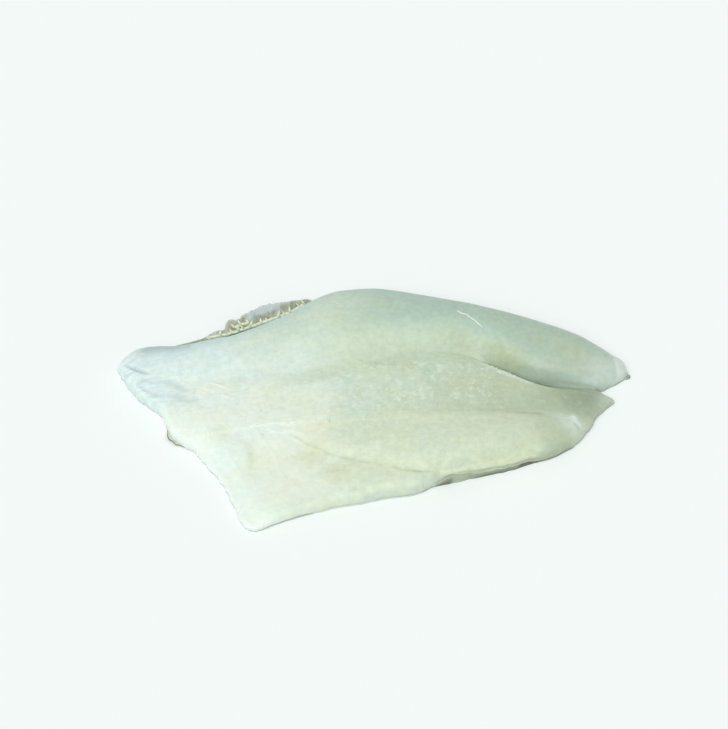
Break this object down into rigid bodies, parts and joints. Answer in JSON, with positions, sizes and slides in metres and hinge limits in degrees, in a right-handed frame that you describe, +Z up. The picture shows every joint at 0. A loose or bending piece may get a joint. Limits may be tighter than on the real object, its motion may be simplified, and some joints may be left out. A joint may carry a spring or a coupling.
{
  "type": "john dory fillet",
  "caption": "Raw skin-on fish fillet lying skin down, with a thick back loin, a flat middle, a belly lobe and a thin belly flap.",
  "frame": {"origin": "on the surface that the fillet lies on, under the middle of its bounding box", "axes": "+X from the head cut to the tail end, along the fillet's length; +Y from the belly to the back; +Z up, out of the cut side"},
  "size_m": [0.2278, 0.133, 0.019],
  "materials": {
    "flesh": "wet translucent raw fish, pale green-white to cream",
    "skin": "wet grey-olive scaly skin with one round dark spot"
  },
  "bodies": {
    "root": {"flesh": "flesh", "skin": "skin"}
  },
  "joints": []
}
